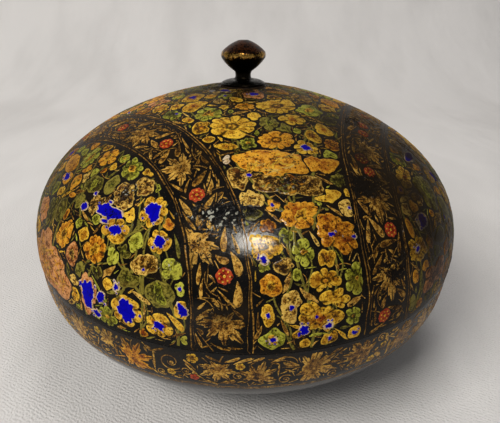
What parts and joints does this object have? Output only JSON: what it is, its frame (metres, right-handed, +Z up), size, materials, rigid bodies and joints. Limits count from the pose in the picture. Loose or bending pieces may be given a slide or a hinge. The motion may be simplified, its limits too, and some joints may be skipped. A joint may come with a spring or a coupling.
{
  "type": "lidded box",
  "caption": "Round lacquered papier-mache box: a bowl with a flat base and a domed lid that lifts off, with a turned brass knob on its crown.",
  "frame": {"origin": "centre of the flat base, on the surface that the box stands on", "axes": "+Z up along the axis of the bowl, the lid and the knob; -Y towards the side seen in the picture"},
  "size_m": [0.25, 0.25, 0.1708],
  "materials": {
    "bowl_lacquer": "gloss",
    "lid_lacquer": "gloss",
    "collar_paper": "satin",
    "washer_leather": "matte",
    "knob_brass": "satin",
    "fixing_brass": "satin"
  },
  "bodies": {
    "bowl": {"bowl_shell": "bowl_lacquer", "rim_collar": "collar_paper"},
    "lid": {"lid_shell": "lid_lacquer", "knob_washer": "washer_leather", "knob": "knob_brass", "knob_stud": "fixing_brass", "stud_washer": "fixing_brass", "stud_nut": "fixing_brass"}
  },
  "joints": [
    {"name": "lid_lift", "type": "slide", "parent": "bowl", "child": "lid", "axis": [0, 0, 1], "range_m": [0, 0.15]}
  ]
}
